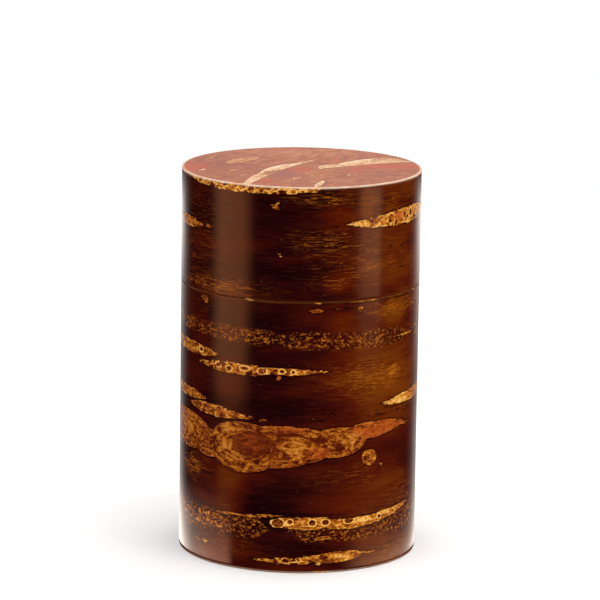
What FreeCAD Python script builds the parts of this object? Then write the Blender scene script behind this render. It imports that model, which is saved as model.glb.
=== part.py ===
"""Cherry-bark tea caddy: an upright round container with a lift-off lid and a knobbed inner lid.

The walls are laminated the way such caddies are made. One long tube of wound wood veneer, with bark glued
round its outside and its inside, is cut in two: the short piece becomes the lid and the long one the body.
A second, slimmer tube, the sleeve, is glued into the body and stands up past its rim as the collar that the
lid slides over. Both ends are closed by a wooden board faced with a disc of bark. The inner lid is a bark-faced
board that drops on to a ledge in the collar's mouth, with a plug ring below it and a pegged knob on top.

Millimetres, +Z up, origin at the centre of the flat underside, +Y to the back.
"""
import FreeCAD
import Part

import os

# ---- Driving dimensions ---------------------------------------------------------------------------------------
outer_radius = 37.5
height = 121.4              # with the lid on
seam_height = 85.7          # underside to the parting line between the body and the lid

outer_bark = 0.6            # thickness of the bark round the outside
wall_core = 1.4             # wound veneer of the outer tube
lid_inner_bark = 0.5        # bark inside the lid
face_bark = 0.7             # bark discs on the top and the underside
board = 4.0                 # end boards of the lid and the body
lining_bark = 0.5           # bark discs on the ceiling and the floor

collar_height = 18.0        # how far the sleeve stands up past the body's rim
sleeve_bark = 0.5           # bark round the sleeve
sleeve_core = 1.2           # wound veneer of the sleeve
sleeve_lining = 0.8         # bark inside the sleeve, which stops short to leave the ledge
ledge_depth = 5.2           # collar's rim down to the ledge

running_gap = 0.1           # radial clearance of the lid on the collar
parting_gap = 0.1           # lid over the body's rim, and inner lid over its ledge
inner_lid_gap = 0.2         # radial clearance of the inner lid in the collar

inner_lid_board = 3.0
inner_lid_bark = 0.6        # bark facing on top of the inner lid
edge_band = 0.5             # bark strip round the inner lid's board
plug_height = 6.0
plug_core = 1.0
plug_bark = 0.4

knob_height = 8.0
knob_foot_radius = 5.0
knob_waist_radius = 3.9
knob_head_radius = 8.2
peg_radius = 2.0
peg_in_knob = 4.0           # how deep the peg reaches into the knob

edge_round = 0.35           # polished edges of the bark discs
soft_edge = 0.2             # lightly sanded outer edges of the rims

# ---- Derived places -------------------------------------------------------------------------------------------
lid_bore = outer_radius - outer_bark - wall_core - lid_inner_bark
collar_radius = lid_bore - running_gap
sleeve_core_radius = collar_radius - sleeve_bark
mouth_radius = sleeve_core_radius - sleeve_core
tea_radius = mouth_radius - sleeve_lining

wall_low = face_bark
wall_high = height - face_bark
board_top = wall_low + board
ceiling = wall_high - board
lid_low = seam_height + parting_gap
collar_top = seam_height + collar_height
ledge = collar_top - ledge_depth

inner_lid_low = ledge + parting_gap
inner_board_low = inner_lid_low + lining_bark
inner_board_high = inner_board_low + inner_lid_board
inner_lid_high = inner_board_high + inner_lid_bark
inner_lid_radius = mouth_radius - inner_lid_gap
plug_radius = tea_radius - inner_lid_gap

UP = FreeCAD.Vector(0, 0, 1)


# ---- Helpers --------------------------------------------------------------------------------------------------
def disc(radius, low, high):
    """A round plate."""
    return Part.makeCylinder(radius, high - low, FreeCAD.Vector(0, 0, low), UP)


def tube(outside, inside, low, high):
    """A straight round tube."""
    return disc(outside, low, high).cut(disc(inside, low, high))


def rounded(shape, radius, at):
    """The shape with a fillet on its circular edges at each (radius, height) in at."""
    chosen = [
        edge
        for edge in shape.Edges
        if isinstance(edge.Curve, Part.Circle)
        and any(
            abs(edge.Curve.Radius - r) < 1e-6 and abs(edge.Curve.Center.z - z) < 1e-6
            for r, z in at
        )
    ]
    return shape.makeFillet(radius, chosen)


def bark_wrap(outside, thickness, low, high, sanded):
    """Bark glued round a tube, its outer edge at the height sanded softened."""
    return rounded(tube(outside, outside - thickness, low, high), soft_edge, [(outside, sanded)])


def save(name, shape):
    shape.exportStep(os.path.join("parts", name + ".step"))


# ---- Body -----------------------------------------------------------------------------------------------------
def body_outer_bark():
    return bark_wrap(outer_radius, outer_bark, wall_low, seam_height, seam_height)


def body_core_tube():
    outside = outer_radius - outer_bark
    return tube(outside, outside - wall_core, wall_low, seam_height)


def body_inner_bark():
    return tube(outer_radius - outer_bark - wall_core, collar_radius, wall_low, seam_height)


def bottom_board():
    return disc(collar_radius, wall_low, board_top)


def bottom_bark_disc():
    return rounded(disc(outer_radius, 0, face_bark), edge_round, [(outer_radius, 0)])


def floor_bark_disc():
    return disc(tea_radius, board_top, board_top + lining_bark)


# ---- Sleeve, glued into the body ------------------------------------------------------------------------------
def sleeve_outer_bark():
    return bark_wrap(collar_radius, sleeve_bark, board_top, collar_top, collar_top)


def sleeve_core_tube():
    return tube(sleeve_core_radius, mouth_radius, board_top, collar_top)


def sleeve_inner_bark():
    return tube(mouth_radius, tea_radius, board_top, ledge)


# ---- Lid ------------------------------------------------------------------------------------------------------
def lid_outer_bark():
    return bark_wrap(outer_radius, outer_bark, lid_low, wall_high, lid_low)


def lid_core_tube():
    outside = outer_radius - outer_bark
    return tube(outside, outside - wall_core, lid_low, wall_high)


def lid_inner_bark_tube():
    return tube(lid_bore + lid_inner_bark, lid_bore, lid_low, wall_high)


def lid_top_board():
    return disc(lid_bore, ceiling, wall_high)


def lid_ceiling_bark_disc():
    return disc(lid_bore, ceiling - lining_bark, ceiling)


def lid_top_bark_disc():
    return rounded(disc(outer_radius, wall_high, height), edge_round, [(outer_radius, height)])


# ---- Inner lid ------------------------------------------------------------------------------------------------
def inner_lid_under_bark():
    return disc(inner_lid_radius, inner_lid_low, inner_board_low)


def inner_lid_board_disc():
    plate = disc(inner_lid_radius - edge_band, inner_board_low, inner_board_high)
    return plate.cut(disc(peg_radius, inner_board_low, inner_board_high))


def inner_lid_edge_bark():
    return tube(inner_lid_radius, inner_lid_radius - edge_band, inner_board_low, inner_board_high)


def inner_lid_top_bark():
    facing = rounded(
        disc(inner_lid_radius, inner_board_high, inner_lid_high),
        edge_round,
        [(inner_lid_radius, inner_lid_high)],
    )
    return facing.cut(disc(peg_radius, inner_board_high, inner_lid_high))


def inner_lid_plug_ring():
    core_radius = plug_radius - plug_bark
    return tube(core_radius, core_radius - plug_core, inner_lid_low - plug_height, inner_lid_low)


def inner_lid_plug_bark():
    return tube(plug_radius, plug_radius - plug_bark, inner_lid_low - plug_height, inner_lid_low)


def knob():
    """A turned button: a flared foot, a narrow waist and a domed head, bored for the peg."""
    foot, top = inner_lid_high, inner_lid_high + knob_height
    waist = foot + knob_height * 0.34
    brow = foot + knob_height * 0.66
    points = {
        "axis_low": FreeCAD.Vector(0, 0, foot),
        "foot": FreeCAD.Vector(knob_foot_radius, 0, foot),
        "waist": FreeCAD.Vector(knob_waist_radius, 0, waist),
        "under": FreeCAD.Vector(knob_head_radius * 0.74, 0, brow - knob_height * 0.11),
        "brow": FreeCAD.Vector(knob_head_radius, 0, brow + knob_height * 0.06),
        "crest": FreeCAD.Vector(knob_head_radius * 0.62, 0, top - knob_height * 0.075),
        "axis_high": FreeCAD.Vector(0, 0, top),
    }
    neck = Part.BSplineCurve()
    neck.interpolate([points["foot"], points["waist"], points["under"], points["brow"]])
    dome = Part.BSplineCurve()
    dome.interpolate(
        [points["brow"], points["crest"], points["axis_high"]],
        InitialTangent=FreeCAD.Vector(0, 0, 1),
        FinalTangent=FreeCAD.Vector(-1, 0, 0),
    )
    profile = Part.Wire(
        [
            Part.LineSegment(points["axis_low"], points["foot"]).toShape(),
            neck.toShape(),
            dome.toShape(),
            Part.LineSegment(points["axis_high"], points["axis_low"]).toShape(),
        ]
    )
    turned = Part.Face(profile).revolve(FreeCAD.Vector(0, 0, 0), UP, 360)
    return turned.cut(disc(peg_radius, foot, foot + peg_in_knob))


def knob_peg():
    return disc(peg_radius, inner_board_low, inner_lid_high + peg_in_knob)


# ---- Every piece, by the name of its node ---------------------------------------------------------------------
PIECES = {
    "body_outer_bark": body_outer_bark,
    "body_core_tube": body_core_tube,
    "body_inner_bark": body_inner_bark,
    "bottom_board": bottom_board,
    "bottom_bark_disc": bottom_bark_disc,
    "floor_bark_disc": floor_bark_disc,
    "sleeve_outer_bark": sleeve_outer_bark,
    "sleeve_core_tube": sleeve_core_tube,
    "sleeve_inner_bark": sleeve_inner_bark,
    "lid_outer_bark": lid_outer_bark,
    "lid_core_tube": lid_core_tube,
    "lid_inner_bark": lid_inner_bark_tube,
    "lid_top_board": lid_top_board,
    "lid_top_bark_disc": lid_top_bark_disc,
    "lid_ceiling_bark_disc": lid_ceiling_bark_disc,
    "inner_lid_board": inner_lid_board_disc,
    "inner_lid_edge_bark": inner_lid_edge_bark,
    "inner_lid_top_bark": inner_lid_top_bark,
    "inner_lid_under_bark": inner_lid_under_bark,
    "inner_lid_plug_ring": inner_lid_plug_ring,
    "inner_lid_plug_bark": inner_lid_plug_bark,
    "knob": knob,
    "knob_peg": knob_peg,
}

os.makedirs("parts", exist_ok=True)
for piece_name, make in PIECES.items():
    made = make()
    save(piece_name, made)
    print(f"{piece_name}: {len(made.Solids)} solid, {made.Volume:.1f} mm3, valid {made.isValid()}")
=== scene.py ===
"""Looks of the cherry-bark tea caddy: bark skins with their lenticels, wood inside, and a small studio.

Lengths in this file are millimetres until a mesh, a light or the camera is made. Round the walls, a place
is an angle in degrees from the front (-Y), positive towards +X, and a height; on the lid's top, (x, y).
"""

import math
from collections import namedtuple

import bmesh
import bpy
import numpy as np
from mathutils import Euler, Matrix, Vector, noise


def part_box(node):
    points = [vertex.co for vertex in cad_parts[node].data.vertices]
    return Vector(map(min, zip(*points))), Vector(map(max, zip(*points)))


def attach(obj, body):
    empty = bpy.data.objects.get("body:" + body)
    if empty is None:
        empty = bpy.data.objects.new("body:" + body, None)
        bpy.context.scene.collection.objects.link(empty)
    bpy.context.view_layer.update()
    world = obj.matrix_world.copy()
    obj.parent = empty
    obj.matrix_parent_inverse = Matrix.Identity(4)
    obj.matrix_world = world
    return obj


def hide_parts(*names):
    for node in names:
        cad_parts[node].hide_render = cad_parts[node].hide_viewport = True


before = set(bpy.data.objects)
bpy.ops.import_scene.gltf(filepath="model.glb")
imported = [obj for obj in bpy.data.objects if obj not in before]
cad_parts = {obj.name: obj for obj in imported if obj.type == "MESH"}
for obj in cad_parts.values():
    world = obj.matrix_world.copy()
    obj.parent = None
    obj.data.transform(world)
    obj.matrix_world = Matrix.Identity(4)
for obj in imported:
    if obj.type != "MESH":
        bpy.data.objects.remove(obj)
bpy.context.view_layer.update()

MM = 0.001

# ---- Sizes, from the frame ----
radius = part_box("body_outer_bark")[1].x / MM
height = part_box("lid_top_bark_disc")[1].z / MM
degree = radius * math.pi / 180        # arc length of one degree round the wall
girth = 360 * degree

grid = 0.5                             # spacing of the points of a bark skin
columns = round(girth / grid)
edge_round = 0.35                      # rounded edges of the bark discs
soft_edge = 0.2                        # sanded edges of the rims
bark_thickness = {"body_outer_bark": 0.6, "lid_outer_bark": 0.6, "sleeve_outer_bark": 0.5}

# ---- The bark's figure ----
# A lenticel is a spindle: its two tips, its height at mid length, half its thickness at the belly, how
# far its right tip lies above its left one, how far its middle bows up, where the belly sits between the
# tips (-1 to 1), how blunt the tips are (small is blunt), and how much it shows ring cells, cream (or,
# below 0, a darker cork), rust and the burl's growth lines.
Mark = namedtuple(
    "Mark",
    "left right height half rise bow belly point cells cream rust burl",
    defaults=(0, 0, 0, 0.9, 0, 0, 0, 0),
)

LENTICELS = (
    # the lid
    Mark(-68, 11, 121.5, 2.6, -0.2, belly=-0.1, point=0.5, cells=1, cream=0.1),
    Mark(3, 17, 118.3, 0.3, 0.3, cream=-0.1),
    Mark(7, 14, 116.7, 0.25, cream=-0.2),
    Mark(-98, -53, 106.7, 1.55, -0.3, belly=0.35, point=1.1, cream=0.12, cells=0.25),
    Mark(-51.3, -47.7, 106.5, 0.7, point=0.5, cream=-0.05),
    Mark(21, 92, 110, 2.4, 1.1, belly=0.15, cells=0.8, cream=0.22, rust=0.15),
    Mark(-12.9, -10.2, 115.8, 0.3, 1.9),
    Mark(-14.2, -11.4, 115.3, 0.22, -0.6, cream=-0.1),
    Mark(-13.2, -9.6, 114.7, 0.25, cream=-0.1),
    Mark(-11.3, -8.4, 100.4, 0.32, -1.3, cream=-0.15),
    Mark(-12.4, -10.6, 101.3, 0.2, cream=-0.2),
    Mark(-9.3, -7.5, 94.2, 0.22, cream=0.3),
    # either side of the parting line
    Mark(-26, -21, 85.75, 0.28, cream=0.5),
    Mark(6.5, 11, 85.6, 0.32, cream=0.5),
    Mark(-54.5, -48.5, 83.7, 1.1, -0.8, point=0.6, cream=-0.08),
    Mark(28.6, 31.6, 83, 0.9, point=0.5, cream=-0.25),
    Mark(4, 11, 82.9, 0.7, cells=0.2, cream=-0.35, rust=0.5),
    Mark(16, 24, 83.3, 0.35, cream=-0.25),
    Mark(12, 84, 85.4, 0.22, 0.1, cream=-0.12),
    # the body, downwards
    Mark(50, 70, 72.4, 0.4, cream=-0.08),
    Mark(-106, -41, 67.2, 1.9, -0.6, 0.2, belly=0.4, cells=0.3),
    Mark(-56, -5, 63.6, 1.75, 0.3, belly=-0.1, cells=1, cream=-0.3, rust=0.1),
    Mark(-20, 13, 63.9, 1.1, 0.1, belly=-0.3, cells=0.5, cream=-0.08),
    Mark(-11, -8, 61.9, 0.7, point=0.5, cells=0.2, cream=-0.2, rust=0.5),
    Mark(-116, -50, 52.6, 1.7, -0.4, 0.1, belly=0.5, cells=0.4),
    Mark(44, 100, 52.6, 1.7, 1.2, -0.2, belly=-0.2, cream=0.45),
    Mark(-64, -23, 49, 1.8, -1, 0.1, belly=-0.2, cells=0.6, cream=-0.12, rust=0.15),
    Mark(-27, -20, 48.6, 0.35, cream=-0.2),
    Mark(-20, -14, 48.3, 0.3, cream=-0.2),
    Mark(14.5, 17.5, 50.4, 0.2, cream=-0.1),
    Mark(6, 8.5, 48.9, 0.2, cream=-0.2),
    # the burl, in lobes
    Mark(-108, -46, 40.8, 6, -0.5, belly=0.35, point=0.45, cells=0.1, burl=1),
    Mark(-62, -36, 38.6, 4.6, -1.4, point=0.7, cells=0.1, burl=1),
    Mark(-28, -2, 42.3, 4.1, 0.2, point=0.4, cells=0.1, burl=1),
    Mark(-47.5, -7, 39.1, 8, point=0.5, cells=0.1, burl=1),
    Mark(-27, 9, 38.3, 5, 1, point=0.4, cells=0.1, burl=1),
    Mark(-24, 18, 40.5, 5.7, 0.5, point=0.38, cells=0.1, burl=1),
    Mark(-15, 8, 46.1, 0.5, -0.8, belly=-0.3, cream=0.05, rust=0.9),
    Mark(3, 33.5, 41.4, 4.8, 0.9, point=0.38, cells=0.3, burl=0.9),
    Mark(22, 60, 44.3, 2.7, 0.6, 0.1, belly=-0.4, point=0.7, cells=0.3, rust=0.95, burl=0.7),
    Mark(54, 62, 45.3, 0.4, cream=-0.1),
    Mark(56, 68, 43.9, 0.45, -0.3, cream=-0.1),
    Mark(31.8, 40.6, 35.8, 2.5, point=0.5, cream=0.02),
    Mark(42, 45, 33, 0.5, point=0.6, cream=-0.1),
    # below it
    Mark(-12.9, 19.5, 16, 1.95, point=0.34, cells=0.2, cream=0.2),
    Mark(8, 67, 16.9, 1.6, 3, -1.1, belly=-0.35, point=0.75, cells=0.25, cream=0.2),
    Mark(-70, -33, 14.2, 2.4, -0.2, point=0.5, cells=1, cream=-0.62),
    Mark(-42, -13, 17.3, 0.45, 0.5, cream=-0.15),
    Mark(-21, -6, 18.2, 0.25, 0.2, cream=-0.2),
    Mark(7, 18, 11.1, 0.55, 0.3, cream=-0.15),
    Mark(-22, 12, 3.9, 1, 0.2, belly=0.3, cells=1, cream=-0.22),
    Mark(2, 33, 4.8, 1.75, 0.5, 0.1, belly=0.35, point=0.6, cells=0.15, cream=0.12),
    Mark(26, 45, 5.4, 0.4, -0.2, cream=-0.15),
    Mark(-58, -53, 6.5, 0.25, -0.3, cream=0.3),
    Mark(-52, -48, 6.6, 0.22, cream=0.2),
    Mark(-45, -40, 6.9, 0.18, cream=0.1),
    Mark(8.3, 12.2, 2.9, 0.45, cream=0.6),
    Mark(6, 17, 0.4, 0.45, cream=-0.1),
    # round the back
    Mark(118, 171, 114.6, 1.6, 0.6, belly=0.3, cells=0.7),
    Mark(-166, -121, 112.2, 2.2, -0.5, 0.2, belly=-0.2, cells=0.8, cream=0.05),
    Mark(139, 147, 104.1, 0.8, point=0.6, cream=-0.1),
    Mark(-150, -118, 97.4, 0.9, 0.5, belly=0.4, cells=0.25),
    Mark(104, 150, 92.8, 1.5, -0.7, 0.2, belly=-0.3, cells=0.5),
    Mark(-178, -172, 90.2, 0.6, point=0.6, cells=0.2, cream=-0.15),
    Mark(108, 166, 66.8, 2, 0.6, -0.2, belly=0.2, cells=0.8),
    Mark(-176, -132, 62.1, 1.3, 0.3, belly=-0.4, cells=0.6),
    Mark(118, 131, 59.2, 0.7, point=0.7, cells=0.2, cream=-0.2, rust=0.3),
    Mark(-162, -126, 41.8, 3.4, 1.4, 0.3, point=0.5, cells=0.3, burl=0.9),
    Mark(98, 140, 35.2, 3, 0.5, point=0.6, cells=0.2, burl=1),
    Mark(124, 168, 34, 4.2, -1.2, point=0.5, cells=0.2, rust=0.15, burl=1),
    Mark(141, 149, 46.8, 1.5, point=0.5, cells=0.3, cream=-0.05, burl=0.3),
    Mark(-172, -112, 27.6, 1.6, 0.8, belly=0.3, cells=0.4),
    Mark(112, 154, 23.1, 1, 0.4, cream=-0.1, cells=0.25),
    Mark(-148, -88, 6.1, 1.6, -0.5, 0.2, belly=-0.2, cells=0.7, cream=-0.05),
    Mark(124, 160, 5.6, 0.9, 0.3, cream=-0.1, cells=0.25),
)

# Single large ring cells: angle, height, half width, half height.
RINGS = (
    (47.5, 110.1, 1.75, 1.6), (58, 110.4, 1.2, 1.3), (64, 110.6, 1.2, 1.4), (70, 110.8, 1.1, 1.3),
    (-9, 15.9, 2.2, 1.55), (-3.2, 16.4, 1.15, 0.95), (7.4, 16.2, 1.35, 1.2), (13.7, 16.2, 1.45, 1.15),
    (25.5, 16.5, 1.9, 1.3), (34.8, 16.2, 0.95, 0.75), (43, 16.2, 1, 0.9),
    (-51, 120.3, 1.7, 1), (-29, 120.6, 1.5, 1.1), (-4, 120, 1.3, 0.9),
    (-41.5, 63.9, 1.3, 0.9), (-35, 63.4, 1.3, 0.9), (-26.5, 64, 2, 0.8), (-17.5, 63.7, 1.7, 1.1),
    (-8, 64, 1.2, 0.8), (-2.5, 63.9, 0.9, 0.7), (-54, 67.4, 1.2, 0.9),
    (149, 66.9, 1.7, 1.2), (141, 67, 1.2, 1), (-141, 112.1, 1.6, 1.4), (-134, 112.2, 1.1, 1),
    (-152, 62.1, 1.3, 0.9), (-112, 6.1, 1.5, 1), (-120, 6.2, 1.1, 0.9),
)

# Soft patches of tint round the walls: angle, height, half width in degrees, half height, strength. The
# glow warms the plain bark, and in a thin strip along the front of the foot it is painted light from the
# floor; amber streaks it, and an eye is a dark red heart of the burl.
PATCHES = {
    "rust": (
        (53, 110.4, 5, 1.8, 1.2), (35, 45.3, 3, 1.2, 0.6), (42, 43.6, 9, 1.6, 1), (74, 52.4, 6, 3, 1),
        (-38, 48.9, 5, 1.3, 0.8), (10, 38.4, 4.6, 1.9, 1.1), (-6, 46, 8, 0.9, 0.9),
        (-22, 40.8, 8, 3, 0.45), (-25, 63.9, 8, 1.2, 0.5),
    ),
    "cream": (
        (33, 16.3, 4, 1.2, 0.8), (52, 17, 9, 1.4, 0.3), (27, 109.2, 5, 1.2, 0.4), (24, 5, 7, 1.6, 0.3),
        (10, 2.9, 2, 0.8, 0.6), (55, 52.4, 10, 1.6, 0.35), (-1, 38.2, 5.5, 2.8, 0.7),
        (1, 41, 3, 1.8, 0.5), (-30, 35.6, 5, 1.4, 0.45), (-38, 41, 3.5, 5, 0.45), (-66, 42, 12, 4, 0.6),
        (-30, 44.8, 9, 1.2, 0.3), (27, 42, 4.5, 2.2, 0.4), (9, 44.6, 7, 0.9, 0.35),
        (-52, 44.5, 4, 1.6, 0.3), (-146, 44, 6, 1.2, 0.4), (150, 33, 7, 2, 0.4), (108, 36, 6, 1.6, 0.3),
    ),
    "eye": (
        (-22, 40.3, 10, 4.6, 1.15), (-5, 37, 2.6, 1.2, 1), (-5, 44.3, 8, 1.3, 0.8),
        (20, 39.7, 2.8, 1.7, 1), (10, 42.4, 6, 1.4, 0.75), (-63, 38.2, 5, 1.8, 0.5),
        (-49, 39, 3.5, 3.5, 0.5), (-12, 39.5, 2.5, 4.5, 0.6), (33.8, 35.6, 1.5, 1.6, 0.7),
        (13, 5, 3, 1, 0.7), (37, 110.2, 5, 1.6, 0.55), (143, 34.4, 8, 2.4, 1),
        (-144, 41.4, 6, 1.6, 1), (112, 34.4, 5, 1.4, 0.7),
    ),
    "amber": (
        (13, 104, 17, 5, 0.65), (34, 98, 26, 8, 0.5), (12, 117.6, 18, 2.4, 0.9), (18, 92, 13, 2.6, 0.6),
        (38, 61, 24, 6, 0.9), (51, 62, 6, 2.6, 1.9), (30, 30, 24, 4, 0.35), (-62, 29.5, 14, 4, 1),
        (-45, 89, 26, 2.8, 0.9), (-58, 100, 18, 20, 0.35), (48, 115, 16, 5, 0.5), (55, 82, 22, 3, 0.9),
        (66, 19, 20, 8, 0.5), (-40, 7, 22, 3, 0.4), (55, 3, 16, 4, 0.6), (-160, 80, 34, 9, 0.8),
        (150, 52, 30, 9, 0.9), (120, 100, 30, 9, 0.7), (-130, 20, 34, 6, 0.7), (140, 14, 30, 8, 0.5),
        (-140, 104, 22, 5, 0.7), (-100, 90, 20, 6, 0.7), (100, 64, 16, 8, 0.6),
    ),
    "glow": (
        (60, 100, 44, 44, 0.8), (52, 60, 40, 24, 1.12), (51, 62.3, 5.5, 2, 1.5),
        (52, 80, 15, 5.5, 1.35), (44, 22, 34, 20, 0.78), (56, 5, 34, 8, 1.05), (22, 112, 14, 12, 0.6),
        (20, 92, 11, 5, 0.75), (22, 80, 12, 8, 0.55), (-36, 25, 11, 12, 0.85), (-60, 92, 18, 50, 0.33),
        # the last two patches of this row, a thin strip along the front of the foot, are painted light
        # from the floor
        (-50, 26, 26, 12, 0.42), (-44, 4, 22, 5, 0.8), (-4, 1, 46, 3, 0.5), (0, 0.6, 40, 1.2, 0.7),
        (6, 82, 12, 4, 0.35), (33, 115.5, 7, 6, 1.15), (48, 114, 13, 8, 0.95), (-35, 58, 9, 9, 0.42),
        (72, 84, 16, 60, 0.85), (160, 60, 40, 34, 0.7), (-150, 96, 40, 16, 0.5), (-130, 16, 40, 16, 0.5),
        (-118, 66, 24, 30, 0.35),
    ),
}

# Pitted bands: height, half height, how far they dip and how much they widen towards +X, and gaps as
# (angle, half width, strength).
PITTED = (
    (73.8, 2.5, 1.2, 0.22, ((-10, 4, 0.25), (66, 8, 0.5), (118, 12, 1))),
    (13.6, 3.6, 0.5, -0.1, ((-9, 8, 0.62), (-152, 14, 1))),
    (88, 1.6, 0, 0, ((20, 62, 1), (120, 60, 1), (-110, 34, 1))),
)

# The lid's top, in (x, y) with +y away from the front: the two ends of each spindle, its half width, bow,
# cream and rust.
STREAKS = (
    ((-18, -43), (5, 14), 2, 5, 0.7, 0),
    ((-13, -14), (-4, 5), 1.4, 1, 1.05, 0),
    ((5, -4), (37, 13), 2.5, 4, 0.65, 0),
    ((5.5, -3), (11, 5), 2.3, 0.3, 0.65, 0),
    ((10, 2), (24, 18), 1.5, 0.8, 1.05, 0),
    ((23, 17), (33, 13), 2.6, 0.6, 0.4, 0),
    ((17, 9), (29, 16), 2.4, 0, 0.5, 0),
    ((-24, 4), (-13, 18), 2.8, 0.5, 0.1, 0),
    ((2, -22), (8, -3), 2.2, -0.5, -0.3, 0.1),
    ((4, -37), (6.8, -25), 1.1, 0, 0.8, 0),
    ((-3, -24), (0, -18), 1, 0, 0.1, 0),
    ((-22.5, -10), (-20, -6), 0.9, 0, 0, 0),
    ((-32, -11), (-30, -6), 0.8, 0, 0.3, 0),
    ((-19, -20), (-17, -14), 0.6, 0, -0.1, 0),
    ((14, -16), (15, -12), 0.6, 0, 0.3, 0),
    ((4, 26), (12, 31), 1.2, 0.3, -0.4, 0),
    ((26, -18), (29, -14), 0.8, 0, -0.1, 0),
    ((-31, 10), (-27, 18), 1, 0, -0.3, 0),
)

# Tinted patches there: x, y, half width, half length, strength. Here the glow is red, an eye is purple,
# and amber is tan, or dark where it is below 0.
BLUSHES = {
    "glow": (
        (27, 3, 12, 5, 1.15), (-34, -3, 5, 8, 1.15), (0, -5, 4, 4, 1.3), (-12, -27, 6, 5, 0.8),
        (12, -29, 10, 4, 0.3), (9, 13, 8, 5, 0.5), (17, -5, 5, 6, 0.7), (-5, 9, 6, 4, 0.4),
        (22, 8, 6, 4, 0.5),
    ),
    "eye": (
        (-6, -13, 6, 6, 1.35), (26, -12, 9, 6, 0.6), (-18, 0, 8, 6, 0.5), (14, 22, 8, 6, 0.5),
        (0, 16, 14, 5, 0.3), (33, -7, 4, 5, 0.6),
    ),
    "amber": (
        (-8, 26, 16, 8, 0.8), (-28, 2, 10, 18, -0.9), (4, -12, 4, 9, 0.8), (8, -24, 5, 6, 0.6),
        (8, 27, 12, 8, 1),
    ),
}

OWN_TINTS = ("cells", "cream", "rust", "burl")      # each lenticel brings its own value of these
TINTS = OWN_TINTS + ("eye", "amber", "glow")
FAR = 9.0                                           # a depth or distance well away from any mark
patch_flatness = 1.3                                # above 1, a wall patch is flat in the middle
gap_depth = 2.2                                     # how many half heights a full gap takes off a band


def spindle(along, across, length, half, bow=0.0, belly=0.0, point=0.9):
    """Depth inside a spindle lying on the along axis, centred at 0; negative outside it."""
    part = along / (length / 2)
    from_belly = np.where(part < belly, (belly - part) / (1 + belly), (part - belly) / (1 - belly))
    full = np.maximum(1 - from_belly**2, -1.5)
    middle = bow * np.maximum(1 - part**2, -1.0)
    return half * np.sign(full) * np.abs(full) ** point - np.abs(across - middle)


def turned(angle, middle):
    """Angle from middle, between -180 and 180."""
    return (angle - middle + 180) % 360 - 180


def lay(tints, table, summed, across, up, flatness=1):
    """Lay a table's patches over the tints. A tint takes its strongest patch, and the summed one all of
    them; across gives the distance from a patch's middle."""
    for name, patches in table.items():
        for middle, level, wide, tall, strength in patches:
            away = (across(middle) / wide) ** 2 + ((up - level) / tall) ** 2
            patch = strength * np.exp(-(away**flatness))
            tints[name] = tints[name] + patch if name == summed else np.maximum(tints[name], patch)


def wall_figure(angle, z):
    """Every attribute of the bark at points round the wall."""
    depth = np.full_like(z, -FAR)
    growth = np.zeros_like(z)
    crease = np.full_like(z, FAR)
    tints = {name: np.zeros_like(z) for name in TINTS}
    for mark in LENTICELS:
        middle = (mark.left + mark.right) / 2
        length = (mark.right - mark.left) * degree
        along = turned(angle, middle) * degree
        level = mark.height + mark.rise * along / length
        here = spindle(along, z - level, length, mark.half, mark.bow, mark.belly, mark.point)
        nearer = here > depth
        apart = np.abs(here - depth)
        crease = np.where(nearer, apart, np.minimum(crease, apart))
        depth = np.where(nearer, here, depth)
        from_middle = np.hypot(along / (length / 2), (z - level) / mark.half)
        growth = np.where(nearer, from_middle * mark.half, growth)
        for name in OWN_TINTS:
            tints[name] = np.where(nearer, getattr(mark, name), tints[name])
    lay(tints, PATCHES, "cream", lambda middle: turned(angle, middle), z, patch_flatness)
    ring = np.full_like(z, -FAR)
    for middle, level, wide, tall in RINGS:
        away = np.hypot(turned(angle, middle) * degree / wide, (z - level) / tall)
        ring = np.maximum(ring, (1 - away) * min(wide, tall))
    pitted = np.full_like(z, -FAR)
    side = np.sin(np.radians(angle))
    for level, half, dip, spread, gaps in PITTED:
        here = half * (1 + spread * side) - np.abs(z - level + dip * side)
        for middle, wide, strength in gaps:
            here = here - gap_depth * half * strength * np.exp(-((turned(angle, middle) / wide) ** 2))
        pitted = np.maximum(pitted, here)
    return dict(tints, lenticel=depth, growth=growth, crease=crease, ring=ring, pitted=pitted)


def top_figure(x, y):
    """The same attributes on the lid's flat top."""
    zero = np.zeros_like(x)
    depth = zero - FAR
    tints = dict.fromkeys(TINTS, zero)
    for *tips, half, bow, cream, rust in STREAKS:
        start, end = np.array(tips)
        length = np.hypot(*(end - start))
        ahead = (end - start) / length
        dx, dy = x - (start + end)[0] / 2, y - (start + end)[1] / 2
        along, across = dx * ahead[0] + dy * ahead[1], dy * ahead[0] - dx * ahead[1]
        here = spindle(along, across, length, half, bow)
        nearer = here > depth
        depth = np.where(nearer, here, depth)
        tints["cream"] = np.where(nearer, cream, tints["cream"])
        tints["rust"] = np.where(nearer, rust, tints["rust"])
    lay(tints, BLUSHES, "amber", lambda middle: x - middle, y)
    return dict(tints, lenticel=depth, growth=zero, crease=zero + FAR, ring=zero - FAR, pitted=zero - FAR)


# ---- Meshes ----
def arc(centre, size, start, end, points=4):
    """Points of an arc of the profile, angles in degrees from the radial direction."""
    turns = np.radians(np.linspace(start, end, points))
    return [(centre[0] + size * math.cos(t), centre[1] + size * math.sin(t)) for t in turns]


def line(start, end, spacing):
    """Points from start to end, without the end."""
    count = max(1, round(math.dist(start, end) / spacing))
    return [tuple(np.array(start) + (np.array(end) - np.array(start)) * k / count) for k in range(count)]


def new_object(name, points, faces):
    """An object in the scene, from points in metres."""
    mesh = bpy.data.meshes.new(name)
    mesh.from_pydata(points, [], faces)
    made = bpy.data.objects.new(name, mesh)
    bpy.context.scene.collection.objects.link(made)
    return made


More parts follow.
